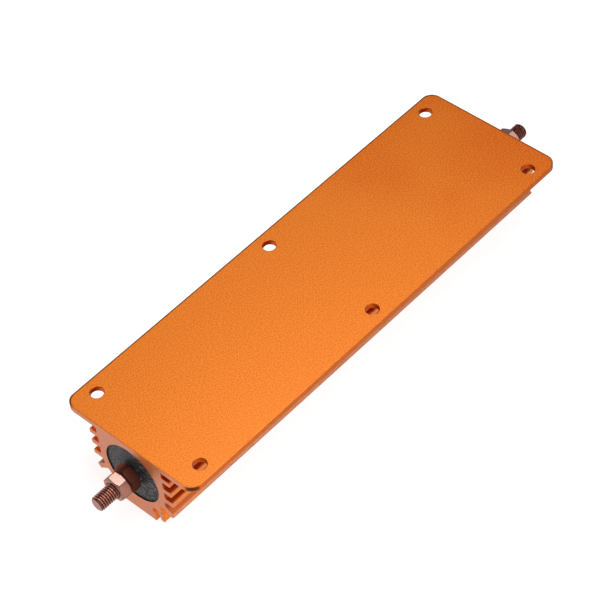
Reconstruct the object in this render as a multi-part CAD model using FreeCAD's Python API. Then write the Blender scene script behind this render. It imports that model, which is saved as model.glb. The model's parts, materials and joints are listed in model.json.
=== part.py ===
import FreeCAD, Part
import math
import os

os.makedirs("parts", exist_ok=True)

# Frame: the length runs along X, the width along Y, and Z points out of the mounting face of the plate.
# The origin lies in the middle of the flat foot on which the housing rests. All sizes are in millimetres.

# housing, outer sizes
housing_length = 165.0
plate_width = 52.0
plate_thickness = 1.9
plate_corner_radius = 4.0
plate_edge_round = 0.25
plate_root_round = 0.5

# mounting holes, three along each long edge, 74 mm apart
hole_diameter = 4.2
hole_end_margin = 8.5
hole_side_margin = 5.2
holes_per_edge = 3
hole_edge_break = 0.15

# bore, with its wall at the sides and underneath, and the thinner crown under the mounting face
bore_diameter = 21.0
wall_thickness = 2.5
crown_thickness = 2.35

# level fins, spread evenly from the first one down to just below the bore axis
level_fin_count = 3
level_fin_thickness = 1.95
level_fin_reach = 3.2
first_fin_depth = 4.35
last_fin_drop = 3.05
fin_tip_round = 0.45
fin_root_round = 0.35

# fins that stand off the round underside, angles are below the level through the bore axis
upper_slant_seat_deg = 26.4
upper_slant_lean_deg = 36.0
upper_slant_reach = 4.5
upper_slant_thickness = 1.95
lower_slant_seat_deg = 47.4
lower_slant_lean_deg = 73.3
lower_slant_reach = 5.2
lower_slant_thickness = 1.6
groove_round = 0.7

# flat foot opposite the plate, its flanks spread as they leave the round underside
foot_depth = 3.75
foot_seat_deg = 62.7
foot_flank_deg = 75.5
foot_edge_round = 0.4

# cement filling, set back from both ends of the bore, with a low collar around each stud
cement_setback = 0.45
cement_collar_diameter = 6.8
cement_collar_rise = 0.65

# ceramic core, a tube, with its ends this far inside the ends of the housing
core_diameter = 12.0
core_hole_diameter = 5.0
core_end_margin = 12.5

# end caps pressed over the core, with the head of the stud shut in behind the end wall
cap_wall = 0.8
cap_press_gap = 0.02
cap_cover = 9.0
stud_head_diameter = 9.0
stud_head_thickness = 1.2

# resistance winding, a flat ribbon whose turns are spread evenly between the caps
ribbon_width = 2.0
ribbon_thickness = 0.5
ribbon_turns = 28.5
ribbon_seat_gap = 0.05
ribbon_end_gap = 0.1

# terminals, 5 mm studs with two equal hexagon nuts each; a stud has its outside diameter on the free end
# outside its nuts, and the diameter halfway up the thread from there inwards, where the nuts turn on it
stud_diameter = 5.0
stud_overhang = 14.5
stud_tip_chamfer = 0.5
thread_pitch = 0.8
thread_mid_share = 0.3248
free_end_gap = 0.3
nut_wall = 1.4
nut_thickness = 3.8
nut_face_inset = 0.35
nut_bore_gap = 0.05
nut_chamfer_deg = 30.0
nut_mouth_depth = 0.5
inner_nut_turn_deg = 32.0
left_outer_nut_turn_deg = 6.5
left_outer_nut_gap = 0.05
right_outer_nut_turn_deg = 40.0
right_outer_nut_gap = 1.6

# values that follow from the sizes above
half_length = housing_length / 2
bore_radius = bore_diameter / 2
body_radius = bore_radius + wall_thickness
bore_axis_depth = bore_radius + crown_thickness
axis_height = body_radius + foot_depth
overall_height = axis_height + bore_axis_depth
last_fin_depth = bore_axis_depth + last_fin_drop - level_fin_thickness
core_radius = core_diameter / 2
core_end = half_length - core_end_margin
stud_radius = stud_diameter / 2
shank_radius = stud_radius - thread_mid_share * thread_pitch
nut_flat_radius = stud_radius + nut_wall
nut_corner_radius = nut_flat_radius / math.cos(math.radians(30))
nut_face_radius = nut_flat_radius - nut_face_inset
cap_inner_radius = core_radius + cap_press_gap
cap_outer_radius = cap_inner_radius + cap_wall
cap_wall_start = core_end + stud_head_thickness
cap_end = cap_wall_start + cap_wall
cap_rim = core_end - cap_cover
cement_end = half_length - cement_setback
collar_end = cement_end + cement_collar_rise
collar_radius = cement_collar_diameter / 2
ribbon_inner_radius = core_radius + ribbon_seat_gap
ribbon_outer_radius = ribbon_inner_radius + ribbon_thickness
along_x = FreeCAD.Vector(1, 0, 0)
bore_centre = FreeCAD.Vector(0, 0, axis_height)


def section_point(y, z):
    return FreeCAD.Vector(-half_length, y, z)


def rounded_edges(corners):
    # closed outline of straight lines, each corner carries the radius of its round
    edges = []
    starts = []
    ends = []
    count = len(corners)
    for index in range(count):
        corner, radius = corners[index]
        before = corners[index - 1][0]
        after = corners[(index + 1) % count][0]
        back = (before - corner).normalize()
        ahead = (after - corner).normalize()
        half_angle = back.getAngle(ahead) / 2
        tangent = radius / math.tan(half_angle)
        starts.append(corner + back * tangent)
        ends.append(corner + ahead * tangent)
        to_centre = (back + ahead).normalize()
        middle = corner + to_centre * (radius / math.sin(half_angle) - radius)
        edges.append(Part.Arc(starts[-1], middle, ends[-1]).toShape())
    for index in range(count):
        edges.append(Part.LineSegment(ends[index - 1], starts[index]).toShape())
    return edges


def circle_crossing(y, z, lean_deg):
    # where a line through (y, z), leaning down and outward, leaves the circle of the body
    lean = math.radians(lean_deg)
    step_y = math.cos(lean)
    step_z = -math.sin(lean)
    rise = z - axis_height
    along = y * step_y + rise * step_z
    inside = body_radius ** 2 - (y ** 2 + rise ** 2 - along ** 2)
    travel = math.sqrt(inside) - along
    return y + step_y * travel, z + step_z * travel


def slant_fin_corners(seat_deg, lean_deg, reach, thickness):
    # root, tip, tip and root of a fin that stands off the round underside of the body
    seat = math.radians(seat_deg)
    lean = math.radians(lean_deg)
    seat_y = body_radius * math.cos(seat)
    seat_z = axis_height - body_radius * math.sin(seat)
    side_y = math.sin(lean) * thickness / 2
    side_z = math.cos(lean) * thickness / 2
    tip_y = seat_y + math.cos(lean) * reach
    tip_z = seat_z - math.sin(lean) * reach
    upper_root = circle_crossing(seat_y + side_y, seat_z + side_z, lean_deg)
    lower_root = circle_crossing(seat_y - side_y, seat_z - side_z, lean_deg)
    return [
        (section_point(*upper_root), groove_round),
        (section_point(tip_y + side_y, tip_z + side_z), fin_tip_round),
        (section_point(tip_y - side_y, tip_z - side_z), fin_tip_round),
        (section_point(*lower_root), groove_round),
    ]


def level_fin_corners(index):
    pitch = (last_fin_depth - first_fin_depth) / (level_fin_count - 1)
    top = overall_height - first_fin_depth - index * pitch
    bottom = top - level_fin_thickness
    tip_y = body_radius + level_fin_reach
    return [
        (section_point(body_radius, top), fin_root_round),
        (section_point(tip_y, top), fin_tip_round),
        (section_point(tip_y, bottom), fin_tip_round),
        (section_point(body_radius, bottom), fin_root_round),
    ]


def foot_corners():
    seat = math.radians(foot_seat_deg)
    seat_y = body_radius * math.cos(seat)
    seat_z = axis_height - body_radius * math.sin(seat)
    foot_y = seat_y + seat_z / math.tan(math.radians(foot_flank_deg))
    return [
        (section_point(seat_y, seat_z), groove_round),
        (section_point(foot_y, 0), foot_edge_round),
    ]


def right_half_corners():
    # from the edge of the plate, down over the fins, to the foot
    corners = [
        (section_point(plate_width / 2, overall_height), plate_edge_round),
        (section_point(plate_width / 2, overall_height - plate_thickness), plate_edge_round),
        (section_point(body_radius, overall_height - plate_thickness), plate_root_round),
    ]
    for index in range(level_fin_count):
        corners += level_fin_corners(index)
    corners += slant_fin_corners(
        upper_slant_seat_deg, upper_slant_lean_deg, upper_slant_reach, upper_slant_thickness
    )
    corners += slant_fin_corners(
        lower_slant_seat_deg, lower_slant_lean_deg, lower_slant_reach, lower_slant_thickness
    )
    return corners + foot_corners()


def mirrored(corners):
    flipped = []
    for corner, radius in reversed(corners):
        flipped.append((section_point(-corner.y, corner.z), radius))
    return flipped


def extruded_section():
    right = right_half_corners()
    outline = right + mirrored(right)
    wire = Part.Wire(Part.__sortEdges__(rounded_edges(outline)))
    return Part.Face(wire).extrude(along_x * housing_length)


def plate_plan():
    # rounded rectangle seen from above, as tall as the whole housing
    plan = Part.makeBox(
        housing_length,
        plate_width,
        overall_height,
        FreeCAD.Vector(-half_length, -plate_width / 2, 0),
    )
    upright = [edge for edge in plan.Edges if edge.BoundBox.ZLength > plate_thickness]
    return plan.makeFillet(plate_corner_radius, upright)


def mounting_hole(x, y):
    radius = hole_diameter / 2
    wide = radius + hole_edge_break
    below = overall_height - plate_thickness
    hole = Part.makeCylinder(radius, plate_thickness, FreeCAD.Vector(x, y, below))
    top_break = Part.makeCone(
        radius,
        wide,
        hole_edge_break,
        FreeCAD.Vector(x, y, overall_height - hole_edge_break),
    )
    bottom_break = Part.makeCone(wide, radius, hole_edge_break, FreeCAD.Vector(x, y, below))
    return hole.fuse([top_break, bottom_break])


def make_housing():
    housing = extruded_section().common(plate_plan())
    bore_start = FreeCAD.Vector(-half_length, 0, axis_height)
    cuts = [Part.makeCylinder(bore_radius, housing_length, bore_start, along_x)]
    first_hole = -half_length + hole_end_margin
    hole_pitch = -2 * first_hole / (holes_per_edge - 1)
    hole_side = plate_width / 2 - hole_side_margin
    for index in range(holes_per_edge):
        for side in (-1, 1):
            cuts.append(mounting_hole(first_hole + index * hole_pitch, side * hole_side))
    return housing.cut(cuts)


def turned_piece(outline):
    # solid of revolution about the bore axis, outline points are (x, radius)
    points = [FreeCAD.Vector(x, 0, axis_height + radius) for x, radius in outline]
    points.append(points[0])
    face = Part.Face(Part.makePolygon(points))
    return face.revolve(bore_centre, along_x, 360)


def make_cement():
    half = [
        (cement_end, bore_radius),
        (cement_end, collar_radius),
        (collar_end, collar_radius),
        (collar_end, shank_radius),
        (cap_end, shank_radius),
        (cap_end, cap_outer_radius),
    ]
    other_half = [(-x, radius) for x, radius in reversed(half)]
    return turned_piece(half + other_half)


def make_core():
    hole_radius = core_hole_diameter / 2
    return turned_piece([
        (-core_end, hole_radius),
        (-core_end, core_radius),
        (core_end, core_radius),
        (core_end, hole_radius),
    ])


def make_winding():
    # one ribbon along a helix, its ends stop at the rims of the caps
    start_x = -cap_rim + ribbon_end_gap + ribbon_width / 2
    wound_length = -2 * start_x
    middle_radius = (ribbon_inner_radius + ribbon_outer_radius) / 2
    helix = Part.makeHelix(wound_length / ribbon_turns, wound_length, middle_radius)
    section = Part.makePolygon([
        FreeCAD.Vector(ribbon_inner_radius, 0, -ribbon_width / 2),
        FreeCAD.Vector(ribbon_outer_radius, 0, -ribbon_width / 2),
        FreeCAD.Vector(ribbon_outer_radius, 0, ribbon_width / 2),
        FreeCAD.Vector(ribbon_inner_radius, 0, ribbon_width / 2),
        FreeCAD.Vector(ribbon_inner_radius, 0, -ribbon_width / 2),
    ])
    ribbon = Part.Wire(helix).makePipeShell([section], True, True)
    ribbon.rotate(FreeCAD.Vector(), FreeCAD.Vector(0, 1, 0), 90)
    ribbon.translate(FreeCAD.Vector(start_x, 0, axis_height))
    return ribbon


def make_end_cap(side):
    return turned_piece([
        (side * cap_rim, cap_inner_radius),
        (side * cap_wall_start, cap_inner_radius),
        (side * cap_wall_start, shank_radius),
        (side * cap_end, shank_radius),
        (side * cap_end, cap_outer_radius),
        (side * cap_rim, cap_outer_radius),
    ])


def make_stud(side, free_start):
    # free_start is the distance of the free end's inner edge from the middle of the housing
    tip = half_length + stud_overhang
    head_radius = stud_head_diameter / 2
    return turned_piece([
        (side * core_end, 0),
        (side * core_end, head_radius),
        (side * cap_wall_start, head_radius),
        (side * cap_wall_start, shank_radius),
        (side * free_start, shank_radius),
        (side * free_start, stud_radius),
        (side * (tip - stud_tip_chamfer), stud_radius),
        (side * tip, stud_radius - stud_tip_chamfer),
        (side * tip, 0),
    ])


def nut_envelope(start_x, end_x):
    # double cone that takes the corners off both faces of a nut
    slope = math.tan(math.radians(nut_chamfer_deg))
    inset = (nut_corner_radius - nut_face_radius) * slope
    toward = 1 if end_x > start_x else -1
    bore = shank_radius + nut_bore_gap
    mouth = bore + nut_mouth_depth
    return turned_piece([
        (start_x, mouth),
        (start_x, nut_face_radius),
        (start_x + toward * inset, nut_corner_radius),
        (end_x - toward * inset, nut_corner_radius),
        (end_x, nut_face_radius),
        (end_x, mouth),
        (end_x - toward * nut_mouth_depth, bore),
        (start_x + toward * nut_mouth_depth, bore),
    ])


def make_nut(side, start, turn_deg):
    # start is the distance of the inner face of the nut from the middle of the housing
    near_x = side * start
    far_x = near_x + side * nut_thickness
    corners = []
    for index in range(7):
        angle = math.radians(turn_deg + 60 * index)
        y = nut_corner_radius * math.cos(angle)
        z = axis_height + nut_corner_radius * math.sin(angle)
        corners.append(FreeCAD.Vector(near_x, y, z))
    prism = Part.Face(Part.makePolygon(corners)).extrude(along_x * (far_x - near_x))
    return prism.common(nut_envelope(near_x, far_x))


def save(shape, name):
    solid = shape.Solids[0]
    solid.exportStep("parts/" + name + ".step")
    print(name, "solids", len(shape.Solids), "valid", solid.isValid(), "volume", round(solid.Volume, 1))


def save_terminal(side, label, outer_turn_deg, outer_gap):
    # the inner nut stands on the cement collar, the outer nut follows it along the thread
    outer_start = collar_end + nut_thickness + outer_gap
    free_start = outer_start + nut_thickness + free_end_gap
    save(make_end_cap(side), "end_cap_" + label)
    save(make_stud(side, free_start), "terminal_stud_" + label)
    save(make_nut(side, collar_end, inner_nut_turn_deg), "inner_nut_" + label)
    save(make_nut(side, outer_start, outer_turn_deg), "outer_nut_" + label)


save(make_housing(), "housing")
save(make_cement(), "cement_filling")
save(make_core(), "ceramic_core")
save(make_winding(), "resistance_winding")
save_terminal(-1, "left", left_outer_nut_turn_deg, left_outer_nut_gap)
save_terminal(1, "right", right_outer_nut_turn_deg, right_outer_nut_gap)
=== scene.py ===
import json
import math
import bmesh
import bpy
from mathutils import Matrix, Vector, noise

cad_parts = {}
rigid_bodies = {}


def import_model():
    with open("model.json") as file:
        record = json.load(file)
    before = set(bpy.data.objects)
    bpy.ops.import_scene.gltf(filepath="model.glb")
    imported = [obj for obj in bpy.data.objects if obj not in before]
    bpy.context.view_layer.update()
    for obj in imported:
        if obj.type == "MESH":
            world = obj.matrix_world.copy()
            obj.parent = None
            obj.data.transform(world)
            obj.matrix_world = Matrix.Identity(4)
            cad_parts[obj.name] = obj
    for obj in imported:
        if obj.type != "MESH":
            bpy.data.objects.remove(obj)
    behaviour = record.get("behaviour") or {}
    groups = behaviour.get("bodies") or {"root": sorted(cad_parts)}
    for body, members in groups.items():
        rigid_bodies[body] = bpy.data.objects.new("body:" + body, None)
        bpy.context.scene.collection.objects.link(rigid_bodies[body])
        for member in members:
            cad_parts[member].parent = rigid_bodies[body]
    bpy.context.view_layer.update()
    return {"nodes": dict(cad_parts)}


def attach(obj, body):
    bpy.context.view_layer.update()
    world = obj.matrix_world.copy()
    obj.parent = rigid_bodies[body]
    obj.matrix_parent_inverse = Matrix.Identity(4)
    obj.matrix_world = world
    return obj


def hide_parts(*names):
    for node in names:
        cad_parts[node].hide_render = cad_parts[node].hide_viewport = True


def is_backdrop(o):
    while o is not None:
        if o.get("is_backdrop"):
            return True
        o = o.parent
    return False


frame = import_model()
nodes = frame["nodes"]
mm = 0.001
boreAxis = 16.75  # height of the bore's axis above the foot, in millimetres
noiseRange = (0.3, 0.7)  # most values of a noise texture lie between these
print("frame loaded:", len(nodes), "solids")


# helpers for node trees

def addNode(tree, kind, **settings):
    node = tree.nodes.new(kind)
    for name, value in settings.items():
        setattr(node, name, value)
    return node


def feed(tree, socket, value):
    # a socket is linked, a number or colour is written on the input itself
    if isinstance(value, bpy.types.NodeSocket):
        tree.links.new(value, socket)
    else:
        socket.default_value = value


def maths(tree, operation, *values, clamp=False):
    node = addNode(tree, "ShaderNodeMath", operation=operation, use_clamp=clamp)
    for socket, value in zip(node.inputs, values):
        feed(tree, socket, value)
    return node.outputs[0]


def combine(tree, operation, *masks):
    # one operation carried through any number of masks
    result = masks[0]
    for mask in masks[1:]:
        result = maths(tree, operation, result, mask)
    return result


def between(tree, mask, low, high):
    # low where the mask is 0, high where it is 1
    return maths(tree, "MULTIPLY_ADD", mask, high - low, low)


def distance(tree, across, up):
    squares = maths(tree, "ADD", maths(tree, "POWER", across, 2.0), maths(tree, "POWER", up, 2.0))
    return maths(tree, "SQRT", squares)


def splitXyz(tree, vector):
    node = addNode(tree, "ShaderNodeSeparateXYZ")
    feed(tree, node.inputs[0], vector)
    return node.outputs[0], node.outputs[1], node.outputs[2]


def joinXyz(tree, x, y, z):
    node = addNode(tree, "ShaderNodeCombineXYZ")
    for socket, value in zip(node.inputs, (x, y, z)):
        feed(tree, socket, value)
    return node.outputs[0]


def spread(tree, value, low, high, outLow=0.0, outHigh=1.0, curve="SMOOTHSTEP"):
    # one range of values laid on another and held beyond both of its ends
    node = addNode(tree, "ShaderNodeMapRange", interpolation_type=curve)
    feed(tree, node.inputs["Value"], value)
    feed(tree, node.inputs["From Min"], low)
    feed(tree, node.inputs["From Max"], high)
    feed(tree, node.inputs["To Min"], outLow)
    feed(tree, node.inputs["To Max"], outHigh)
    return node.outputs[0]


def objectPlace(tree, stretch=(1, 1, 1)):
    # object coordinates in millimetres, stretched where a pattern runs along one direction
    coords = addNode(tree, "ShaderNodeTexCoord")
    scale = addNode(tree, "ShaderNodeMapping")
    scale.inputs["Scale"].default_value = [share / mm for share in stretch]
    tree.links.new(coords.outputs["Object"], scale.inputs["Vector"])
    return scale.outputs[0]


def grain(tree, place, scale, detail, roughness):
    node = addNode(tree, "ShaderNodeTexNoise", noise_dimensions="3D")
    feed(tree, node.inputs["Vector"], place)
    node.inputs["Scale"].default_value = scale
    node.inputs["Detail"].default_value = detail
    node.inputs["Roughness"].default_value = roughness
    return node.outputs["Fac"]


def blendColor(tree, factor, first, second):
    node = addNode(tree, "ShaderNodeMix", data_type="RGBA")
    feed(tree, node.inputs[0], factor)
    feed(tree, node.inputs[6], first)
    feed(tree, node.inputs[7], second)
    return node.outputs[2]


def bump(tree, height, strength, depth, under=None):
    # depth in millimetres, and under is a bump that this one lies on
    node = addNode(tree, "ShaderNodeBump")
    feed(tree, node.inputs["Height"], height)
    node.inputs["Strength"].default_value = strength
    node.inputs["Distance"].default_value = depth * mm
    if under is not None:
        tree.links.new(under, node.inputs["Normal"])
    return node.outputs[0]


def newMaterial(name):
    material = bpy.data.materials.new(name)
    material.use_nodes = True
    tree = material.node_tree
    tree.nodes.clear()
    output = addNode(tree, "ShaderNodeOutputMaterial")
    shader = addNode(tree, "ShaderNodeBsdfPrincipled")
    tree.links.new(shader.outputs[0], output.inputs["Surface"])
    return material, tree, shader


# helpers for pieces

def paint(piece, material):
    piece.data.materials.clear()
    piece.data.materials.append(material)


def addObject(name, data):
    piece = bpy.data.objects.new(name, data)
    bpy.context.scene.collection.objects.link(piece)
    return piece


def shadeByAngle(piece, degrees):
    mesh = piece.data
    mesh.polygons.foreach_set("use_smooth", [True] * len(mesh.polygons))
    mesh.set_sharp_from_angle(angle=math.radians(degrees))
    mesh.update()


def pieceFromRings(name, mesh, rings, sharpDeg):
    # each ring is joined to the next and the last one to the first, which closes the skin
    count = len(rings[0])
    for first, second in zip(rings, rings[1:] + rings[:1]):
        for step in range(count):
            after = (step + 1) % count
            mesh.faces.new((first[step], first[after], second[after], second[step]))
    bmesh.ops.recalc_face_normals(mesh, faces=mesh.faces)
    data = bpy.data.meshes.new(name)
    mesh.to_mesh(data)
    mesh.free()
    piece = addObject(name, data)
    shadeByAngle(piece, sharpDeg)
    return piece


def standIn(piece, node):
    # a finer piece takes the place of a solid of the frame
    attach(piece, "root")
    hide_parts(node)


# housing: orange anodised skin, with cut metal on the sawn ends, other tones where tools left them, and
# painted shade and highlights on the fins, in the channels, along the edges and towards the right-hand end

housingPlan = {
    # colours
    "orange": (0.89, 0.233, 0.018, 1),
    "shadedDeepOrange": (0.79, 0.146, 0.005, 1),  # painted shade towards the right-hand end, and the darker clouds of the dye
    "speckleDark": (0.62, 0.098, 0.003, 1),
    "speckleLight": (1.0, 0.27, 0.025, 1),
    "cutMetal": (0.60, 0.148, 0.018, 1),
    "cutMetalDark": (0.50, 0.110, 0.010, 1),
    "channelShadeTone": (0.42, 0.032, 0.0005, 1),  # painted shade down between the fins
    # painted highlight on the tips of the level fins
    "levelTipHighlight": (0.76, 0.235, 0.050, 1),
    "drilledTone": (0.42, 0.050, 0.001, 1),
    "wallTone": (0.60, 0.128, 0.014, 1),  # narrow sides of the plate
    "edgeTone": (0.13, 0.030, 0.006, 1),  # painted shade along the edge of the plate
    # painted shade on the slanting fins under the plate
    "slantShadeTone": (0.46, 0.086, 0.002, 1),
    "tipTone": (0.60, 0.23, 0.095, 1),  # painted highlight on the tips of the slanting fins
    # painted shade along the outermost edge of the slanting fin tips
    "tipShadeLine": (0.40, 0.13, 0.05, 1),
    "milledCornerShade": (0.12, 0.027, 0.002, 1),  # painted shade on the rounded corners of the plate
    "boreWallTone": (0.075, 0.022, 0.009, 1),  # darker on the wall of the bore
    # how strong some of the tones are
    "speckles": (0.48, 0.62),  # dark and light ones
    "speckleRange": (0.36, 0.64),
    "cloudShare": 0.5,
    "dyeAndShadeMiddle": 0.25,
    "shadeSlope": -0.005,  # painted shade, darker for each millimetre to the right
    "dyeAndShadeRange": (0.02, 0.37),
    "cutWallShare": 0.85,
    "channelShadeShares": (0.75, 0.15),  # painted shade at the front and back of the housing
    # strength of the painted shade along the edge
    "edgeShares": {"near": 0.10, "right": 0.5, "back": 0.95},
    # gloss
    "metallic": 0.5,
    "bareMetallic": 0.95,
    "specular": 0.3,
    "roughness": 0.44,
    "speckleRoughness": 0.05,
    "sawnRoughness": 0.06,
    "coat": 0.25,
    "sawnCoat": 0.68,
    "coatRoughness": 0.32,
    "coatIor": 1.5,
    "bumpStrength": 0.35,
    "lineDepth": 0.03,
    "grainDepth": 0.08,
    # sizes of the solid in millimetres, with holes and bore a little wider to take in their walls
    "halfLength": 82.5,
    "halfWidth": 26.0,
    "cornerRadius": 4.0,
    "top": 29.6,
    "holePitch": 74.0,
    "holeSide": 20.8,
    "holeRadius": 2.27,
    "boreRadius": 10.56,
    "sawnDepth": 0.02,
    # depths below the top face
    "edgeDepth": 0.5,
    "milledDepth": 0.1,
    "milledFade": (1.8, 1.4),
    "plateDepth": 1.8,
    "wallDepth": 2.1,
    # widths of the tones along the outline of the plate
    "edgeWidth": (0.62, 0.465),
    "edgeGrowth": 2.0,
    "wallWidth": (0.22, 0.08),
    "milledStart": (0.5, 1.6),
    # a tone sets in from the first of two places to the second, by distance from the axis, width or height
    "channelRadius": (16.0, 13.5),
    "channelWidth": (15.9, 15.0),
    "channelTop": (13.5, 15.0),
    "channelFoot": (9.0, 12.5),
    "channelTurn": (-2.0, 2.0),
    "slantHead": (12.8, 12.4),
    "slantFoot": (7.8, 8.2),
    "slantWidth": (11.8, 12.6),
    "tipWidth": (14.8, 15.3),
    "tipLineWidth": (15.55, 15.75),
    "levelFoot": 12.5,
    "levelTipFrom": (15.6, 15.9),
    "levelTipTo": (17.2, 16.6),
}


def housingMasks(tree, plan, x, y, z):
    # each mask is 1 where its finish, painted shade or painted highlight lies and 0 elsewhere
    farX = maths(tree, "ABSOLUTE", x)
    farY = maths(tree, "ABSOLUTE", y)
    depth = maths(tree, "SUBTRACT", plan["top"], z)
    fromAxis = distance(tree, y, maths(tree, "SUBTRACT", z, boreAxis))
    sawn = maths(tree, "GREATER_THAN", farX, plan["halfLength"] - plan["sawnDepth"])
    unsawn = maths(tree, "SUBTRACT", 1.0, sawn)
    underPlate = maths(tree, "GREATER_THAN", depth, plan["plateDepth"])

    # two holes stand in the middle of the length and four one pitch away from it
    toEndHole = maths(tree, "ABSOLUTE", maths(tree, "SUBTRACT", farX, plan["holePitch"]))
    toHole = distance(tree, maths(tree, "MINIMUM", farX, toEndHole),
                      maths(tree, "SUBTRACT", farY, plan["holeSide"]))

    # how far a place lies outside the rounded outline of the plate, less than zero inside it
    straightX = plan["halfLength"] - plan["cornerRadius"]
    straightY = plan["halfWidth"] - plan["cornerRadius"]
    overX = maths(tree, "SUBTRACT", farX, straightX)
    overY = maths(tree, "SUBTRACT", farY, straightY)
    corner = distance(tree, maths(tree, "MAXIMUM", overX, 0.0), maths(tree, "MAXIMUM", overY, 0.0))
    inside = maths(tree, "MINIMUM", maths(tree, "MAXIMUM", overX, overY), 0.0)
    outside = maths(tree, "SUBTRACT", maths(tree, "ADD", corner, inside), plan["cornerRadius"])

    # painted shade along the edge of the plate, faint on the near edges and strong at the back and the right
    edgeFrom, edgeTo = plan["edgeWidth"]
    shares, growth = plan["edgeShares"], plan["edgeGrowth"]
    edgeStrength = maths(tree, "MAXIMUM",
                         spread(tree, x, straightX, straightX + growth, shares["near"], shares["right"]),
                         spread(tree, y, straightY, straightY + growth, shares["near"], shares["back"]))
    edge = combine(tree, "MULTIPLY",
                   spread(tree, outside, -edgeFrom, -edgeTo),
                   maths(tree, "LESS_THAN", depth, plan["edgeDepth"]),
                   edgeStrength)

    # the narrow sides of the plate, and its milled corners, which carry painted shade
    wallFrom, wallTo = plan["wallWidth"]
    nearWall = spread(tree, outside, -wallFrom, -wallTo)
    wall = combine(tree, "MULTIPLY", nearWall, maths(tree, "LESS_THAN", depth, plan["wallDepth"]), unsawn)
    milled = combine(tree, "MULTIPLY",
                     spread(tree, maths(tree, "MINIMUM", overX, overY), *plan["milledStart"]),
                     maths(tree, "GREATER_THAN", depth, plan["milledDepth"]),
                     nearWall,
                     spread(tree, depth, *plan["milledFade"]))

    # painted shade down between the fins
    behindTips = maths(tree, "MULTIPLY", spread(tree, farY, *plan["channelWidth"]),
                       spread(tree, z, *plan["channelTop"]))
    channelShade = combine(tree, "MULTIPLY",
                      maths(tree, "MAXIMUM", spread(tree, fromAxis, *plan["channelRadius"]), behindTips),
                      spread(tree, z, *plan["channelFoot"]),
                      underPlate,
                      unsawn)

    # painted shade on the slanting fins, painted highlights on the tips of all fins, and a line of painted
    # shade along the slanting tips
    slantFin = combine(tree, "MULTIPLY", spread(tree, z, *plan["slantHead"]),
                       spread(tree, z, *plan["slantFoot"]), unsawn)
    # painted highlight on the tips of the level fins
    levelTipLight = combine(tree, "MULTIPLY",
                       spread(tree, farY, *plan["levelTipFrom"]),
                       maths(tree, "GREATER_THAN", z, plan["levelFoot"]),
                       spread(tree, farY, *plan["levelTipTo"]),
                       maths(tree, "SUBTRACT", underPlate, sawn, clamp=True))
    return {
        "sawn": sawn,
        "drilled": maths(tree, "LESS_THAN", toHole, plan["holeRadius"]),
        "darkBoreWall": maths(tree, "LESS_THAN", fromAxis, plan["boreRadius"]),
        "channelShade": channelShade,
        "levelTipLight": levelTipLight,
        "slantShade": maths(tree, "MULTIPLY", spread(tree, farY, *plan["slantWidth"]), slantFin),
        # painted highlight on the tips of the slanting fins
        "tip": maths(tree, "MULTIPLY", spread(tree, farY, *plan["tipWidth"]), slantFin),
        # painted shade along the outermost edge of the slanting fin tips
        "tipShadeLine": maths(tree, "MULTIPLY", spread(tree, farY, *plan["tipLineWidth"]), slantFin),
        "wall": wall,
        "milled": milled,
        "edge": edge,
    }


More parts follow.
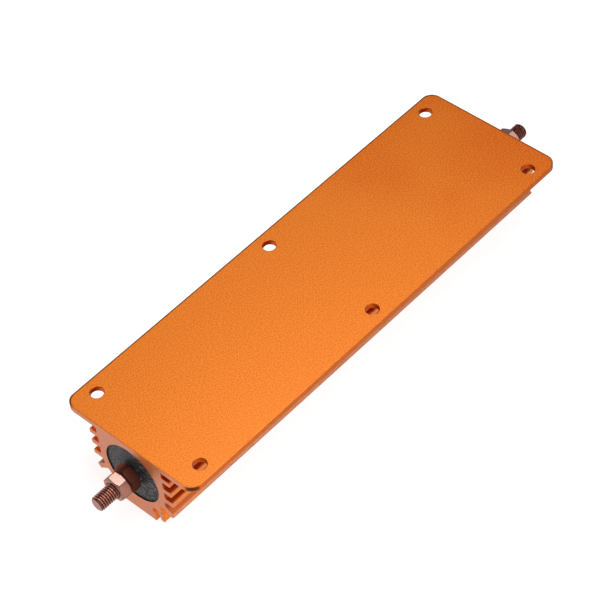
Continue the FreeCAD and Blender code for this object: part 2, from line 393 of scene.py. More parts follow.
def makeHousingSkin():
    plan = housingPlan
    material, tree, shader = newMaterial("orangeAnodisedAluminium")
    place = objectPlace(tree)
    x, y, z = splitXyz(tree, place)
    masks = housingMasks(tree, plan, x, y, z)
    sandGrain = grain(tree, place, scale=2.4, detail=1.0, roughness=0.5)
    drawnLines = grain(tree, objectPlace(tree, (0.02, 1, 1)), scale=1.6, detail=3.0, roughness=0.55)
    cloud = grain(tree, place, scale=0.03, detail=2.0, roughness=0.5)
    cutMarks = grain(tree, objectPlace(tree, (1, 0.6, 3)), scale=0.9, detail=4.0, roughness=0.6)

    # painted shade darkens the colour along the length, the dye varies in soft clouds, and it is speckled
    # all over
    dyeAndShade = maths(tree, "MULTIPLY_ADD", x, plan["shadeSlope"], plan["dyeAndShadeMiddle"])
    dyeAndShade = spread(tree, maths(tree, "MULTIPLY_ADD", cloud, plan["cloudShare"], dyeAndShade), *plan["dyeAndShadeRange"])
    speckle = spread(tree, sandGrain, *plan["speckleRange"], -1.0, 1.0)
    darkSpeckle, lightSpeckle = plan["speckles"]
    skin = blendColor(tree, dyeAndShade, plan["shadedDeepOrange"], plan["orange"])
    darkDots = maths(tree, "MULTIPLY", speckle, -darkSpeckle, clamp=True)
    lightDots = maths(tree, "MULTIPLY", speckle, lightSpeckle, clamp=True)
    skin = blendColor(tree, darkDots, skin, plan["speckleDark"])
    skin = blendColor(tree, lightDots, skin, plan["speckleLight"])
    cut = blendColor(tree, spread(tree, cutMarks, *noiseRange), plan["cutMetalDark"], plan["cutMetal"])
    color = blendColor(tree, masks["sawn"], skin, cut)
    # the painted shade between the fins is stronger at the front than at the back
    channelShadeShare = spread(tree, y, *plan["channelTurn"], *plan["channelShadeShares"])
    # painted shade in the channels, on the slanting fins, along the edge, at the milled corners and on the
    # tip line; painted highlights on the tips of the fins
    for mask, tone in (
            (maths(tree, "MULTIPLY", masks["channelShade"], channelShadeShare), "channelShadeTone"),
            (masks["levelTipLight"], "levelTipHighlight"),
            (maths(tree, "MULTIPLY", masks["drilled"], plan["cutWallShare"]), "drilledTone"),
            (maths(tree, "MULTIPLY", masks["wall"], plan["cutWallShare"]), "wallTone"),
            (masks["edge"], "edgeTone"),
            (masks["slantShade"], "slantShadeTone"),
            (masks["tip"], "tipTone"),
            (masks["tipShadeLine"], "tipShadeLine"),
            (masks["milled"], "milledCornerShade"),
            (masks["darkBoreWall"], "boreWallTone")):
        color = blendColor(tree, mask, color, plan[tone])
    feed(tree, shader.inputs["Base Color"], color)

    # cut walls are bare metal, and the clear coat is gone there, in the channels and along the edge
    bare = combine(tree, "MAXIMUM", masks["drilled"], masks["milled"], masks["wall"])
    dull = combine(tree, "MAXIMUM", bare, masks["channelShade"], masks["edge"])
    coat = between(tree, dull, plan["coat"], 0.0)
    coat = maths(tree, "MULTIPLY_ADD", masks["sawn"], plan["sawnCoat"] - plan["coat"], coat)
    rough = maths(tree, "MULTIPLY_ADD", speckle, plan["speckleRoughness"], plan["roughness"])
    rough = maths(tree, "MULTIPLY_ADD", masks["sawn"], plan["sawnRoughness"], rough)
    feed(tree, shader.inputs["Metallic"], between(tree, bare, plan["metallic"], plan["bareMetallic"]))
    feed(tree, shader.inputs["Coat Weight"], coat)
    feed(tree, shader.inputs["Roughness"], rough)
    shader.inputs["Specular IOR Level"].default_value = plan["specular"]
    shader.inputs["Coat Roughness"].default_value = plan["coatRoughness"]
    shader.inputs["Coat IOR"].default_value = plan["coatIor"]
    lines = bump(tree, drawnLines, plan["bumpStrength"], plan["lineDepth"])
    sand = bump(tree, sandGrain, plan["bumpStrength"], plan["grainDepth"], under=lines)
    feed(tree, shader.inputs["Normal"], sand)
    return material


paint(nodes["housing"], makeHousingSkin())
print("housing skin done")


# cement filling: cast by hand into both ends of the bore, grainy, with pores and trowel swirls, painted
# shade round the nut, painted light towards the back and painted glints along the swirls

cementPlan = {
    # sizes in millimetres
    "boreRadius": 10.49,
    "collarRadius": 3.4,
    "shankRadius": 2.24,
    "holeEnd": 70.0,  # the stud's hole ends here, deep in the bore
    "end": 82.05,
    "collarEnd": 82.70,
    "around": 240,
    "rings": 62,
    "sharpDeg": 50,
    # relief of the cast face: heights in millimetres, scales in turns of the pattern per millimetre
    "swell": 0.10,
    "swellScale": 0.22,
    "grit": 0.045,
    "gritScale": 2.2,
    "gritFade": 0.8,
    "gritStep": 2.1,
    "gritLayers": 4,
    "swirl": 0.05,
    "swirlOut": 1.9,
    "swirlAround": 2.2,
    "poreDepth": 0.30,
    "poreScale": 0.62,
    "poreSize": 0.10,
    "poreGrowth": 0.22,
    "poreShape": 0.6,
    "poreLimit": 0.18,
    "rimSlope": 3.0,
    "patternGap": 40,  # these two keep the patterns of the two ends apart
    "swirlGap": 9.0,
    "sizeDraw": 7.3,  # and these two make unlike draws from the centre of a pore
    "presenceDraw": 3.1,
    # colours
    "hollow": (0.002, 0.0015, 0.0015, 1),
    "gritTone": (0.100, 0.087, 0.094, 1),
    # used for damp patches and for the painted shade round the nut
    "dampAndShade": (0.012, 0.011, 0.013, 1),
    "speck": (0.22, 0.20, 0.215, 1),
    # painted glints along the trowel streaks
    "glintFleck": (0.42, 0.40, 0.42, 1),
    # a tone sets in from the first value of a noise or place to the second, then come its two strengths
    "gritRange": (0.46, 0.555),
    "dampPatches": (0.35, 0.7, 0.0, 0.35),
    # painted shade round the nut
    "nutShadeRing": (4.6, 6.8, 0.6, 0.0),
    # painted light: paler towards the back of the cast face
    "litSide": (1.5, 7.0, 0.0, 0.24),
    "specks": (0.62, 0.74, 0.0, 0.7),
    "ridges": (0.52, 0.61, 0.0, 0.9),
    "glintFlecks": (0.60, 0.68, 0.0, 1.0),
    "hollows": (0.48, 0.42, 0.0, 0.8),
    "pores": (0.24, 0.14, 0.0, 1.0),
    "poreCells": 0.55,
    "poreChoice": 0.62,
    # streaks of the trowel
    "swept": (0.5, -4.5),
    "streakTurn": (0.98, 0.2),  # cosine and sine
    "streakStretch": (0.40, 1.5),
    "streakRelief": 1.8,
    # gloss
    "specular": 0.40,
    "roughness": (0.60, 0.42),
    "bumpStrength": 1.0,
    "bumpDepth": 0.90,
}


def cementHeight(plan, side, y, z):
    # how far the cast face stands out at this place
    place = Vector((side * plan["patternGap"], y, z))
    radius = math.hypot(y, z)
    turn = math.atan2(z, y)
    swell = noise.noise(place * plan["swellScale"]) * plan["swell"]
    grit = noise.fractal(place * plan["gritScale"], plan["gritFade"], plan["gritStep"], plan["gritLayers"])
    swirlPlace = Vector((radius * plan["swirlOut"], turn * plan["swirlAround"], side * plan["swirlGap"]))
    swirl = noise.noise(swirlPlace) * plan["swirl"]
    distances, centers = noise.voronoi(place * plan["poreScale"], distance_metric="DISTANCE")
    size = plan["poreSize"] + plan["poreGrowth"] * abs(noise.noise(centers[0] * plan["sizeDraw"]))
    present = noise.noise(centers[0] * plan["presenceDraw"]) > plan["poreLimit"]
    pore = max(0.0, 1 - distances[0] / size) ** plan["poreShape"] if present else 0.0
    rim = 1.0 - math.exp(-(plan["boreRadius"] - radius) * plan["rimSlope"])
    return (swell + grit * plan["grit"] + swirl) * rim - pore * plan["poreDepth"] * rim


def cementProfile(plan, side):
    # from deep in the stud's hole out to the collar and over the cast face to the wall of the bore
    profile = [
        ("plain", side * plan["holeEnd"], plan["shankRadius"]),
        ("plain", side * plan["collarEnd"], plan["shankRadius"]),
        ("plain", side * plan["collarEnd"], plan["collarRadius"]),
        ("plain", side * plan["end"], plan["collarRadius"]),
    ]
    for ring in range(1, plan["rings"]):
        share = ring / plan["rings"]
        radius = plan["collarRadius"] + (plan["boreRadius"] - plan["collarRadius"]) * share
        profile.append(("cast", side * plan["end"], radius))
    profile.append(("plain", side * plan["end"], plan["boreRadius"]))
    return profile


def makeCement():
    plan = cementPlan
    mesh = bmesh.new()
    rings = []
    for kind, x, radius in cementProfile(plan, -1) + cementProfile(plan, 1)[::-1]:
        side = 1 if x > 0 else -1
        ring = []
        for step in range(plan["around"]):
            turn = 2 * math.pi * step / plan["around"]
            y, z = radius * math.cos(turn), radius * math.sin(turn)
            out = side * cementHeight(plan, side, y, z) if kind == "cast" else 0.0
            ring.append(mesh.verts.new(((x + out) * mm, y * mm, (boreAxis + z) * mm)))
        rings.append(ring)
    return pieceFromRings("castCement", mesh, rings, plan["sharpDeg"])


def makeCementSkin():
    plan = cementPlan
    material, tree, shader = newMaterial("greyCement")
    place = objectPlace(tree)
    x, y, z = splitXyz(tree, place)
    radius = distance(tree, y, maths(tree, "SUBTRACT", z, boreAxis))
    fine = grain(tree, place, scale=1.6, detail=5.0, roughness=0.72)
    patches = grain(tree, place, scale=0.35, detail=3.0, roughness=0.6)
    specks = grain(tree, place, scale=1.7, detail=1.0, roughness=0.5)

    # the trowel left streaks on one side, long across the face and turned a little
    cosine, sine = plan["streakTurn"]
    long, short = plan["streakStretch"]
    along = maths(tree, "MULTIPLY_ADD", z, -sine, maths(tree, "MULTIPLY", y, cosine))
    across = maths(tree, "MULTIPLY_ADD", y, sine, maths(tree, "MULTIPLY", z, cosine))
    along = maths(tree, "MULTIPLY", along, long)
    across = maths(tree, "MULTIPLY", across, short)
    streaks = grain(tree, joinXyz(tree, x, along, across), scale=1.0, detail=3.0, roughness=0.6)
    swept = spread(tree, y, *plan["swept"])

    cells = addNode(tree, "ShaderNodeTexVoronoi", feature="F1")
    feed(tree, cells.inputs["Vector"], place)
    cells.inputs["Scale"].default_value = plan["poreCells"]
    draw = splitXyz(tree, cells.outputs["Color"])[0]
    chosen = maths(tree, "GREATER_THAN", draw, plan["poreChoice"])
    pores = maths(tree, "MULTIPLY", spread(tree, cells.outputs["Distance"], *plan["pores"]), chosen)

    color = blendColor(tree, spread(tree, fine, *plan["gritRange"]), plan["hollow"], plan["gritTone"])
    for mask, tone in (
            (spread(tree, patches, *plan["dampPatches"]), "dampAndShade"),
            # painted shade in a ring round the nut
            (spread(tree, radius, *plan["nutShadeRing"]), "dampAndShade"),
            # painted light towards the back of the cast face
            (spread(tree, y, *plan["litSide"]), "speck"),
            (spread(tree, specks, *plan["specks"]), "speck"),
            (maths(tree, "MULTIPLY", spread(tree, streaks, *plan["ridges"]), swept), "speck"),
            # painted glints along the trowel streaks
            (maths(tree, "MULTIPLY", spread(tree, streaks, *plan["glintFlecks"]), swept), "glintFleck"),
            (maths(tree, "MULTIPLY", spread(tree, streaks, *plan["hollows"]), swept), "hollow"),
            (pores, "hollow")):
        color = blendColor(tree, mask, color, plan[tone])
    feed(tree, shader.inputs["Base Color"], color)
    feed(tree, shader.inputs["Roughness"], spread(tree, fine, *noiseRange, *plan["roughness"]))
    shader.inputs["Specular IOR Level"].default_value = plan["specular"]
    relief = maths(tree, "MULTIPLY_ADD", maths(tree, "MULTIPLY", streaks, swept), plan["streakRelief"], fine)
    feed(tree, shader.inputs["Normal"], bump(tree, relief, plan["bumpStrength"], plan["bumpDepth"]))
    return material


castCement = makeCement()
paint(castCement, makeCementSkin())
standIn(castCement, "cement_filling")
print("cement done:", len(castCement.data.polygons), "faces")


# terminal studs: the thread is a grid rolled into a helix by a node tree

studPlan = {
    # sizes in millimetres, each of them an input of the tree
    "shape": {
        "outerRadius": 2.5,
        "rootRadius": 2.01,
        "tipRadius": 2.0,
        "pitch": 0.8,
        "crestShare": 0.14,  # shares of half a pitch, from the middle of the crest
        "rootShare": 0.80,
        "threadStart": 82.3,
        "tip": 97.0,
        "shankRadius": 2.24,
        "headRadius": 4.5,
        "headStart": 70.0,
        "headEnd": 71.2,
        "stepsAlong": 300,
        "stepsAround": 96,
        "weldDistance": 0.002,
    },
    "sharpDeg": 32,
    "mergeDistance": 0.0001,
    "rootTone": (0.16, 0.049, 0.034, 1),
    "crestTone": (0.57, 0.28, 0.215, 1),
    "patina": (0.16, 0.050, 0.036, 1),
    "rightPatina": 0.55,  # the right-hand stud is browner
    "stain": (0.45, 0.75, 0.0, 0.4),
    "tipTone": (0.36, 0.175, 0.145, 1),
    "tipFace": 96.98,
    "crestRadius": (2.05, 2.5),
    "roughness": (0.30, 0.46),
    "bumpStrength": 0.3,
    "bumpDepth": 0.03,
}


def rollThread(tree, given):
    # a grid one unit wide is set round the bore's axis, and its radius follows a 60 degree thread form
    sheet = addNode(tree, "GeometryNodeMeshGrid")
    sheet.inputs["Size X"].default_value = 1.0
    sheet.inputs["Size Y"].default_value = 1.0
    tree.links.new(given["stepsAlong"], sheet.inputs["Vertices X"])
    tree.links.new(given["stepsAround"], sheet.inputs["Vertices Y"])
    u, v = splitXyz(tree, addNode(tree, "GeometryNodeInputPosition").outputs[0])[:2]
    share = maths(tree, "ADD", u, 0.5)
    turns = maths(tree, "ADD", v, 0.5)
    length = maths(tree, "SUBTRACT", given["tip"], given["threadStart"])
    along = maths(tree, "MULTIPLY_ADD", share, length, given["threadStart"])
    handed = maths(tree, "MULTIPLY", along, given["side"])
    pitches = maths(tree, "DIVIDE", handed, given["pitch"])
    phase = maths(tree, "FRACT", maths(tree, "SUBTRACT", pitches, turns))
    fromCrest = maths(tree, "MULTIPLY", maths(tree, "ABSOLUTE", maths(tree, "SUBTRACT", phase, 0.5)), 2.0)
    flank = spread(tree, fromCrest, given["crestShare"], given["rootShare"],
                   given["outerRadius"], given["rootRadius"], curve="LINEAR")
    chamfer = maths(tree, "ADD", given["tipRadius"], maths(tree, "SUBTRACT", given["tip"], along))
    radius = maths(tree, "MINIMUM", flank, chamfer)
    angle = maths(tree, "MULTIPLY", turns, 2 * math.pi)
    y = maths(tree, "MULTIPLY", radius, maths(tree, "COSINE", angle))
    z = maths(tree, "MULTIPLY_ADD", radius, maths(tree, "SINE", angle), given["boreAxis"])
    roll = addNode(tree, "GeometryNodeSetPosition")
    tree.links.new(sheet.outputs["Mesh"], roll.inputs["Geometry"])
    tree.links.new(joinXyz(tree, handed, y, z), roll.inputs["Position"])
    return roll.outputs[0]


def layOnAxis(tree, given, shape, turnDeg, along):
    # turns a cylinder or a disc to the bore's axis and moves it along, outwards on either side
    lay = addNode(tree, "GeometryNodeTransform")
    tree.links.new(shape, lay.inputs["Geometry"])
    lay.inputs["Rotation"].default_value = [math.radians(angle) for angle in turnDeg]
    handed = maths(tree, "MULTIPLY", along, given["side"])
    tree.links.new(joinXyz(tree, handed, 0.0, given["boreAxis"]), lay.inputs["Translation"])
    return lay.outputs[0]


def turnRod(tree, given, radius, start, end):
    # plain turned length between two places along the axis
    bar = addNode(tree, "GeometryNodeMeshCylinder")
    tree.links.new(given["stepsAround"], bar.inputs["Vertices"])
    tree.links.new(given[radius], bar.inputs["Radius"])
    tree.links.new(maths(tree, "SUBTRACT", given[end], given[start]), bar.inputs["Depth"])
    middle = maths(tree, "MULTIPLY", maths(tree, "ADD", given[start], given[end]), 0.5)
    return layOnAxis(tree, given, bar.outputs["Mesh"], (0, 90, 0), middle)


def closeTip(tree, given):
    # disc over the open end of the thread, with the same corners as its last ring
    plate = addNode(tree, "GeometryNodeMeshCircle", fill_type="NGON")
    tree.links.new(maths(tree, "SUBTRACT", given["stepsAround"], 1), plate.inputs["Vertices"])
    tree.links.new(given["tipRadius"], plate.inputs["Radius"])
    return layOnAxis(tree, given, plate.outputs["Mesh"], (90, 0, 90), given["tip"])


def joinParts(tree, parts):
    gather = addNode(tree, "GeometryNodeJoinGeometry")
    for part in parts:
        tree.links.new(part, gather.inputs[0])
    return gather.outputs[0]


def threadTree():
    tree = bpy.data.node_groups.new("rolledThread", "GeometryNodeTree")
    face = tree.interface
    for name, value in dict(studPlan["shape"], side=1.0, boreAxis=boreAxis).items():
        kind = "NodeSocketInt" if isinstance(value, int) else "NodeSocketFloat"
        socket = face.new_socket(name=name, in_out="INPUT", socket_type=kind)
        socket.default_value = value
    face.new_socket(name="skin", in_out="INPUT", socket_type="NodeSocketMaterial")
    face.new_socket(name="Geometry", in_out="OUTPUT", socket_type="NodeSocketGeometry")
    given = addNode(tree, "NodeGroupInput").outputs
    made = addNode(tree, "NodeGroupOutput")

    weld = addNode(tree, "GeometryNodeMergeByDistance")
    tree.links.new(joinParts(tree, (rollThread(tree, given), closeTip(tree, given))), weld.inputs[0])
    tree.links.new(given["weldDistance"], weld.inputs["Distance"])
    shank = turnRod(tree, given, "shankRadius", "headEnd", "threadStart")
    head = turnRod(tree, given, "headRadius", "headStart", "headEnd")
    shrink = addNode(tree, "GeometryNodeTransform")
    shrink.inputs["Scale"].default_value = (mm, mm, mm)
    tree.links.new(joinParts(tree, (weld.outputs[0], shank, head)), shrink.inputs["Geometry"])
    real = addNode(tree, "GeometryNodeRealizeInstances")
    tree.links.new(shrink.outputs[0], real.inputs[0])
    dress = addNode(tree, "GeometryNodeSetMaterial")
    tree.links.new(real.outputs[0], dress.inputs[0])
    tree.links.new(given["skin"], dress.inputs["Material"])
    tree.links.new(dress.outputs[0], made.inputs[0])
    return tree


def runTree(name, tree, values):
    # puts the tree on an empty mesh, sets its inputs by identifier and keeps the plain result
    carrier = addObject(name + "Maker", bpy.data.meshes.new(name + "Maker"))
    modifier = carrier.modifiers.new("maker", "NODES")
    modifier.node_group = tree
    for item in tree.interface.items_tree:
        if item.item_type == "SOCKET" and item.in_out == "INPUT" and item.name in values:
            modifier[item.identifier] = values[item.name]
    evaluated = carrier.evaluated_get(bpy.context.evaluated_depsgraph_get())
    data = bpy.data.meshes.new_from_object(evaluated)
    data.name = name
    bpy.data.objects.remove(carrier)
    return addObject(name, data)


def rightNormals(piece):
    mesh = bmesh.new()
    mesh.from_mesh(piece.data)
    bmesh.ops.remove_doubles(mesh, verts=mesh.verts, dist=studPlan["mergeDistance"] * mm)
    bmesh.ops.recalc_face_normals(mesh, faces=mesh.faces)
    mesh.to_mesh(piece.data)
    mesh.free()


def makeStudSkin():
    # copper brown, darker down in the thread, rubbed bright along the crests
    plan = studPlan
    material, tree, shader = newMaterial("copperBrownStud")
    place = objectPlace(tree)
    x, y, z = splitXyz(tree, place)
    radius = distance(tree, y, maths(tree, "SUBTRACT", z, boreAxis))
    stain = grain(tree, place, scale=0.9, detail=4.0, roughness=0.6)
    fine = grain(tree, place, scale=5.0, detail=2.0, roughness=0.5)
    patina = maths(tree, "MULTIPLY_ADD", maths(tree, "GREATER_THAN", x, 0.0), plan["rightPatina"],
                   spread(tree, stain, *plan["stain"]))
    leftTip = maths(tree, "LESS_THAN", x, -plan["tipFace"])
    color = blendColor(tree, spread(tree, radius, *plan["crestRadius"]), plan["rootTone"], plan["crestTone"])
    color = blendColor(tree, patina, color, plan["patina"])
    color = blendColor(tree, leftTip, color, plan["tipTone"])
    feed(tree, shader.inputs["Base Color"], color)
    shader.inputs["Metallic"].default_value = 1.0
    feed(tree, shader.inputs["Roughness"], spread(tree, fine, *noiseRange, *plan["roughness"]))
    feed(tree, shader.inputs["Normal"], bump(tree, fine, plan["bumpStrength"], plan["bumpDepth"]))
    return material


studSkin = makeStudSkin()
thread = threadTree()
for side, label in ((-1.0, "left"), (1.0, "right")):
    values = dict(studPlan["shape"], side=side, boreAxis=boreAxis, skin=studSkin)
    stud = runTree("threadedStud_" + label, thread, values)
    rightNormals(stud)
    shadeByAngle(stud, studPlan["sharpDeg"])
    standIn(stud, "terminal_stud_" + label)
    print("stud", label, "done:", len(stud.data.polygons), "faces")


# hexagon nuts: flats, rounded corners and the turned chamfer on both faces, each edge slightly broken

nutPlan = {
    # sizes in millimetres
    "flatRadius": 3.9,
    "faceRadius": 3.55,
    "thickness": 3.8,
    "boreRadius": 2.29,
    "mouthDepth": 0.5,
    "chamferDeg": 30.0,
    "cornerRound": 0.22,
    "edgeBreak": 0.045,
    "arcSteps": 8,
    "chamferSteps": 26,
    "chamferReach": 1.25,  # the fine rings go this much deeper than the chamfer's deepest place
    "flatShares": (-1.0, -0.985, -0.94, -0.7, -0.35, 0.0, 0.35, 0.7, 0.94, 0.985),
    # cornerFade, creaseWidth and mouthTone set how the painted shade lies along the corners, creases and
    # mouth
    "cornerFade": 0.8,
    "creaseWidth": 2.5,
    "mouthTone": 0.6,
    "sharpDeg": 26,
    # side, place of the inner face along the axis, and how far the nut happens to be turned
    "places": {
        "innerNut_left": (-1, 82.70, 32.0),
        "outerNut_left": (-1, 86.55, 6.5),
        "innerNut_right": (1, 82.70, 32.0),
        "outerNut_right": (1, 88.10, 40.0),
    },
    "skins": {
        "inner": {
            "name": "darkCopperNut", "slot": "dark_nut_metal",
            "light": (0.36, 0.090, 0.050, 1), "dark": (0.085, 0.023, 0.014, 1),
            "edge": (0.05, 0.014, 0.010, 1),
            # painted shade towards the front of the inner nut
            "roughness": 0.40, "metallic": 0.35, "specular": 0.05,
            "shadeSide": 0.16, "stainFrom": 0.10, "topFlatHighlight": None,
        },
        "outer": {
            "name": "brightCopperNut", "slot": "bright_nut_metal",
            "light": (0.53, 0.240, 0.180, 1), "dark": (0.38, 0.165, 0.125, 1),
            "edge": (0.12, 0.048, 0.035, 1),
            "roughness": 0.25, "metallic": 1.0, "specular": 0.5,
            "shadeSide": 0.0, "stainFrom": 0.40, "topFlatHighlight": (0.45, 0.28, 0.228, 1),
        },
    },
    "stainLength": 0.35,
    "highlightAbove": (3.3, 3.6),  # painted highlight on the uppermost flat, by height above the axis
    "edgeReach": (0.15, 0.9),
    "edgeRoughness": 0.15,
    "markRoughness": (-0.01, 0.02),
}


def nutOutline(plan):
    # y, z and edge tone round the hexagon, with extra points where a flat meets a corner
    rounding = plan["cornerRound"]
    inner = (plan["flatRadius"] - rounding) / math.cos(math.radians(30))
    half = inner * math.sin(math.radians(30))
    points = []
    for side in range(6):
        middle = math.radians(60 * side + 30)
        for share in plan["flatShares"]:
            out, across = plan["flatRadius"], half * share
            points.append((out * math.cos(middle) - across * math.sin(middle),
                           out * math.sin(middle) + across * math.cos(middle), 0.0))
        center = math.radians(60 * side + 60)
        for step in range(plan["arcSteps"]):
            bend = middle + math.radians(60 * step / plan["arcSteps"])
            tone = 1.0 - abs(step / plan["arcSteps"] - 0.5) * plan["cornerFade"]
            points.append((inner * math.cos(center) + rounding * math.cos(bend),
                           inner * math.sin(center) + rounding * math.sin(bend), tone))
    return points


def nutLevels(plan, slope):
    # rings along the axis, close together down to just below the chamfer
    depth = (plan["flatRadius"] / math.cos(math.radians(30)) - plan["faceRadius"]) * slope
    steps = plan["chamferSteps"]
    levels = [depth * plan["chamferReach"] * step / steps for step in range(steps + 1)]
    levels += [plan["thickness"] / 2]
    return levels + [plan["thickness"] - level for level in reversed(levels[:-1])]


def makeNut(name, side, start, turnDeg):
    plan = nutPlan
    soft = plan["edgeBreak"]
    slope = math.tan(math.radians(plan["chamferDeg"]))
    mesh = bmesh.new()
    # vertex tone for the painted shade along the edges
    toneLayer = mesh.verts.layers.float.new("edgeTone")

    def addVert(along, radius, direction, tone):
        angle = direction + math.radians(turnDeg)
        y, z = radius * math.cos(angle), boreAxis + radius * math.sin(angle)
        vert = mesh.verts.new((side * (start + along) * mm, y * mm, z * mm))
        vert[toneLayer] = tone
        return vert

    outline = nutOutline(plan)
    rings = []
    for along in nutLevels(plan, slope):
        # the chamfer is a cone that cuts the corners, and a soft minimum breaks the edge between them
        cone = plan["faceRadius"] + min(along, plan["thickness"] - along) / slope
        ring = []
        for y, z, cornerTone in outline:
            flat = math.hypot(y, z)
            radius = -soft * math.log(math.exp(-flat / soft) + math.exp(-cone / soft))
            # creases and corners get the tone of the painted shade along the edges
            crease = math.exp(-abs(flat - cone) / (soft * plan["creaseWidth"]))
            tone = max(crease, cornerTone if cone > flat else 0.0)
            ring.append(addVert(along, min(radius, cone, flat), math.atan2(z, y), tone))
        rings.append(ring)
    bore, deep = plan["boreRadius"], plan["mouthDepth"]
    for along, radius, tone in (
            (plan["thickness"], bore + deep, plan["mouthTone"]),
            (plan["thickness"] - deep, bore, 1.0),
            (deep, bore, 1.0),
            (0.0, bore + deep, plan["mouthTone"])):
        rings.append([addVert(along, radius, math.atan2(z, y), tone) for y, z, cornerTone in outline])
    return pieceFromRings(name, mesh, rings, plan["sharpDeg"])


def makeNutSkin(look):
    # plated flats, with painted shade along the broken edges, a painted highlight on the top flat of the
    # outer nut, painted shade towards the front of the inner nut, and fine marks of the turning
    plan = nutPlan
    material, tree, shader = newMaterial(look["name"])
    place = objectPlace(tree)
    x, y, z = splitXyz(tree, place)
    cloud = grain(tree, place, scale=0.30, detail=3.0, roughness=0.5)
    marks = grain(tree, objectPlace(tree, (0.3, 1, 1)), scale=3.0, detail=2.0, roughness=0.5)
    tone = addNode(tree, "ShaderNodeAttribute", attribute_type="GEOMETRY", attribute_name="edgeTone")
    edge = tone.outputs["Fac"]
    # painted shade towards the front of the inner nut, over clouds of stain
    stain = maths(tree, "MULTIPLY_ADD", y, -look["shadeSide"], cloud)
    stain = spread(tree, stain, look["stainFrom"], look["stainFrom"] + plan["stainLength"])
    color = blendColor(tree, stain, look["light"], look["dark"])
    # painted highlight on the uppermost flat of the outer nut
    if look["topFlatHighlight"]:
        upper = spread(tree, maths(tree, "SUBTRACT", z, boreAxis), *plan["highlightAbove"])
        color = blendColor(tree, upper, color, look["topFlatHighlight"])
    # painted shade along the broken edges
    color = blendColor(tree, spread(tree, edge, *plan["edgeReach"]), color, look["edge"])
    rough = spread(tree, marks, *noiseRange, *[look["roughness"] + step for step in plan["markRoughness"]])
    feed(tree, shader.inputs["Base Color"], color)
    feed(tree, shader.inputs["Roughness"], maths(tree, "MULTIPLY_ADD", edge, plan["edgeRoughness"], rough))
    shader.inputs["Metallic"].default_value = look["metallic"]
    shader.inputs["Specular IOR Level"].default_value = look["specular"]
    return material


nutSkins = {kind: makeNutSkin(look) for kind, look in nutPlan["skins"].items()}
for name, (side, start, turnDeg) in nutPlan["places"].items():
    nut = makeNut(name, side, start, turnDeg)
    kind, label = name.replace("Nut", "").split("_")
    paint(nut, nutSkins[kind])
    standIn(nut, kind + "_nut_" + label)
    print(name, "done:", len(nut.data.polygons), "faces")


# hidden inside: ceramic core, resistance ribbon, pressed caps

hiddenPlan = {
    "core": {
        "name": "creamCeramic", "ground": (0.74, 0.69, 0.60, 1), "marks": (0.60, 0.55, 0.46, 1),
        "metallic": 0.0, "roughness": (0.55, 0.75), "bumpStrength": 0.3, "bumpDepth": 0.05,
        "stretch": (1, 1, 1), "grain": (2.0, 4.0, 0.6), "range": (0.3, 0.75),
    },
    "ribbon": {
        "name": "resistanceRibbon", "ground": (0.30, 0.27, 0.25, 1), "marks": (0.50, 0.46, 0.42, 1),
        "metallic": 1.0, "roughness": (0.35, 0.50), "bumpStrength": 0.3, "bumpDepth": 0.03,
        "stretch": (1, 0.1, 0.1), "grain": (3.0, 3.0, 0.6), "range": (0.3, 0.7),
    },
    "cap": {
        "name": "pressedSteelCap", "ground": (0.45, 0.45, 0.46, 1), "marks": (0.66, 0.66, 0.66, 1),
        "metallic": 1.0, "roughness": (0.30, 0.45), "bumpStrength": 0.3, "bumpDepth": 0.03,
        "stretch": (0.1, 1, 1), "grain": (3.0, 3.0, 0.6), "range": (0.3, 0.7),
    },
}


def makeHiddenSkin(look):
    material, tree, shader = newMaterial(look["name"])
    marks = grain(tree, objectPlace(tree, look["stretch"]), *look["grain"])
    color = blendColor(tree, spread(tree, marks, *look["range"]), look["ground"], look["marks"])
    feed(tree, shader.inputs["Base Color"], color)
    feed(tree, shader.inputs["Roughness"], spread(tree, marks, *noiseRange, *look["roughness"]))
    feed(tree, shader.inputs["Normal"], bump(tree, marks, look["bumpStrength"], look["bumpDepth"]))
    shader.inputs["Metallic"].default_value = look["metallic"]
    return material


paint(nodes["ceramic_core"], makeHiddenSkin(hiddenPlan["core"]))
paint(nodes["resistance_winding"], makeHiddenSkin(hiddenPlan["ribbon"]))
capSkin = makeHiddenSkin(hiddenPlan["cap"])
for label in ("left", "right"):
    paint(nodes["end_cap_" + label], capSkin)
print("hidden pieces done")


# studio: camera at the picture's angle, pale floor, soft lamps above and a lit table below the floor

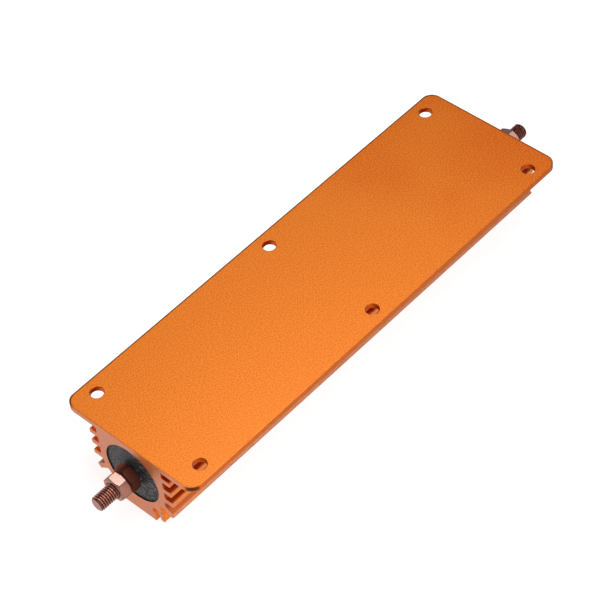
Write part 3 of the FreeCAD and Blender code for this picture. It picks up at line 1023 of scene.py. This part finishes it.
studioPlan = {
    "camera": {
        "location": (-0.3152871, -0.3259163, 0.5249290),
        "turnDeg": (41.762990, 4.208455, -47.895797),
        "lens": 134.1743,
        "sensor": 36.0,
        "clip": (0.01, 50.0),
    },
    "floor": {"size": 12.0, "below": 0.05 * mm, "albedo": 0.35, "lift": 0.84, "glossShare": 0.4},
    "sky": {
        "horizon": 1.0, "glossShare": 0.5, "ceiling": 0.10, "ceilingFrom": (0.10, 0.40),
        "darkSide": 0.08, "brightSide": 0.16, "turn": (-1.0, 1.2),
    },
    "lamps": {
        "overheadSoftbox": {
            "place": (0.0, -0.032, 0.38), "aim": (-0.01, 0, 0.02), "size": (0.26, 0.26), "watts": 1.07},
        "sideSoftbox": {
            "place": (-0.06, -0.28, 0.22), "aim": (-0.03, 0, 0.02), "size": (0.22, 0.22), "watts": 0.58},
        "frontSoftbox": {
            "place": (0.33, -0.42, 0.34), "aim": (0, -0.02, 0.015), "size": (0.3, 0.3), "watts": 0.45},
        "leftSoftbox": {
            "place": (-0.35, 0.45, 0.14), "aim": (-0.06, 0, 0.02), "size": (0.3, 0.2), "watts": 0.35},
        "backSoftbox": {
            "place": (0.40, 0.32, 0.90), "aim": (-0.09, 0, 0.02), "size": (0.32, 0.32), "watts": 0.42},
        "lightTable": {
            "place": (-0.45, 0.36, -0.40), "aim": (-0.08, 0, 0.015), "size": (0.22, 0.22), "watts": 1.38},
        "lightTableEnd": {
            "place": (-0.60, 0.15, -0.22), "aim": (-0.08, 0, 0.015), "size": (0.22, 0.22), "watts": 0.84},
        "lightTableFront": {
            "place": (-0.15, -0.42, -0.16), "aim": (-0.06, 0, 0.01), "size": (0.22, 0.22), "watts": 0.92},
        "lightTableBack": {
            "place": (0.20, 0.25, -0.42), "aim": (0, -0.015, 0.02), "size": (0.3, 0.3), "watts": 1.0},
    },
}


def makeCamera(plan):
    data = bpy.data.cameras.new("pictureCamera")
    data.lens = plan["lens"]
    data.sensor_width = plan["sensor"]
    data.clip_start, data.clip_end = plan["clip"]
    camera = addObject("pictureCamera", data)
    camera.location = plan["location"]
    camera.rotation_euler = [math.radians(angle) for angle in plan["turnDeg"]]
    bpy.context.scene.camera = camera


def seenShare(tree, glossShare):
    # 1 where the camera looks straight or through glass, and a share of it in mirrored light
    rays = addNode(tree, "ShaderNodeLightPath").outputs
    mirrored = maths(tree, "MULTIPLY", rays["Is Glossy Ray"], glossShare)
    return combine(tree, "MAXIMUM", rays["Is Camera Ray"], mirrored, rays["Is Transmission Ray"])


def makeFloor(plan):
    half = plan["size"] / 2
    data = bpy.data.meshes.new("paleFloor")
    corners = [(-half, -half, 0), (half, -half, 0), (half, half, 0), (-half, half, 0)]
    data.from_pydata(corners, [], [(0, 1, 2, 3)])
    floor = addObject("paleFloor", data)
    floor.location.z = -plan["below"]
    material = bpy.data.materials.new("paleFloor")
    material.use_nodes = True
    tree = material.node_tree
    tree.nodes.clear()
    plain = addNode(tree, "ShaderNodeBsdfDiffuse")
    plain.inputs["Color"].default_value = [plan["albedo"]] * 3 + [1]
    lift = addNode(tree, "ShaderNodeEmission")
    lift.inputs["Strength"].default_value = plan["lift"]
    seen = addNode(tree, "ShaderNodeAddShader")
    tree.links.new(plain.outputs[0], seen.inputs[0])
    tree.links.new(lift.outputs[0], seen.inputs[1])
    mix = addNode(tree, "ShaderNodeMixShader")
    tree.links.new(seenShare(tree, plan["glossShare"]), mix.inputs[0])
    tree.links.new(plain.outputs[0], mix.inputs[1])
    tree.links.new(seen.outputs[0], mix.inputs[2])
    tree.links.new(mix.outputs[0], addNode(tree, "ShaderNodeOutputMaterial").inputs["Surface"])
    data.materials.append(material)
    floor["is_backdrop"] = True


def blendStrength(tree, factor, first, second):
    node = addNode(tree, "ShaderNodeMix", data_type="FLOAT")
    feed(tree, node.inputs[0], factor)
    feed(tree, node.inputs[2], first)
    feed(tree, node.inputs[3], second)
    return node.outputs[0]


def makeSky(plan):
    # white round the horizon where it is seen, brighter on the picture's left, dim overhead
    world = bpy.data.worlds.new("studioSky")
    world.use_nodes = True
    tree = world.node_tree
    tree.nodes.clear()
    x, y, z = splitXyz(tree, addNode(tree, "ShaderNodeTexCoord").outputs["Generated"])
    across = maths(tree, "SUBTRACT", y, x)
    lit = spread(tree, across, *plan["turn"], plan["darkSide"], plan["brightSide"])
    low = blendStrength(tree, seenShare(tree, plan["glossShare"]), lit, plan["horizon"])
    strength = blendStrength(tree, spread(tree, z, *plan["ceilingFrom"]), low, plan["ceiling"])
    glow = addNode(tree, "ShaderNodeBackground")
    glow.inputs["Color"].default_value = (1, 1, 1, 1)
    feed(tree, glow.inputs["Strength"], strength)
    tree.links.new(glow.outputs[0], addNode(tree, "ShaderNodeOutputWorld").inputs["Surface"])
    bpy.context.scene.world = world


def makeLamps(plan):
    # the lit table shines through the floor, so only the object's own pieces stand in its way
    shades = bpy.data.collections.new("shades")
    for piece in bpy.context.scene.objects:
        if piece.type == "MESH" and not piece.hide_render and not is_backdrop(piece):
            shades.objects.link(piece)
    for name, lamp in plan.items():
        data = bpy.data.lights.new(name, "AREA")
        data.shape = "RECTANGLE"
        data.size, data.size_y = lamp["size"]
        data.energy = lamp["watts"]
        holder = addObject(name, data)
        place, aim = Vector(lamp["place"]), Vector(lamp["aim"])
        holder.location = place
        holder.rotation_euler = (place - aim).to_track_quat("Z", "Y").to_euler()
        holder.visible_camera = False
        if place.z < 0:
            holder.light_linking.blocker_collection = shades


makeCamera(studioPlan["camera"])
makeFloor(studioPlan["floor"])
makeSky(studioPlan["sky"])
makeLamps(studioPlan["lamps"])
bpy.context.scene.view_settings.view_transform = "Standard"
print("studio done")
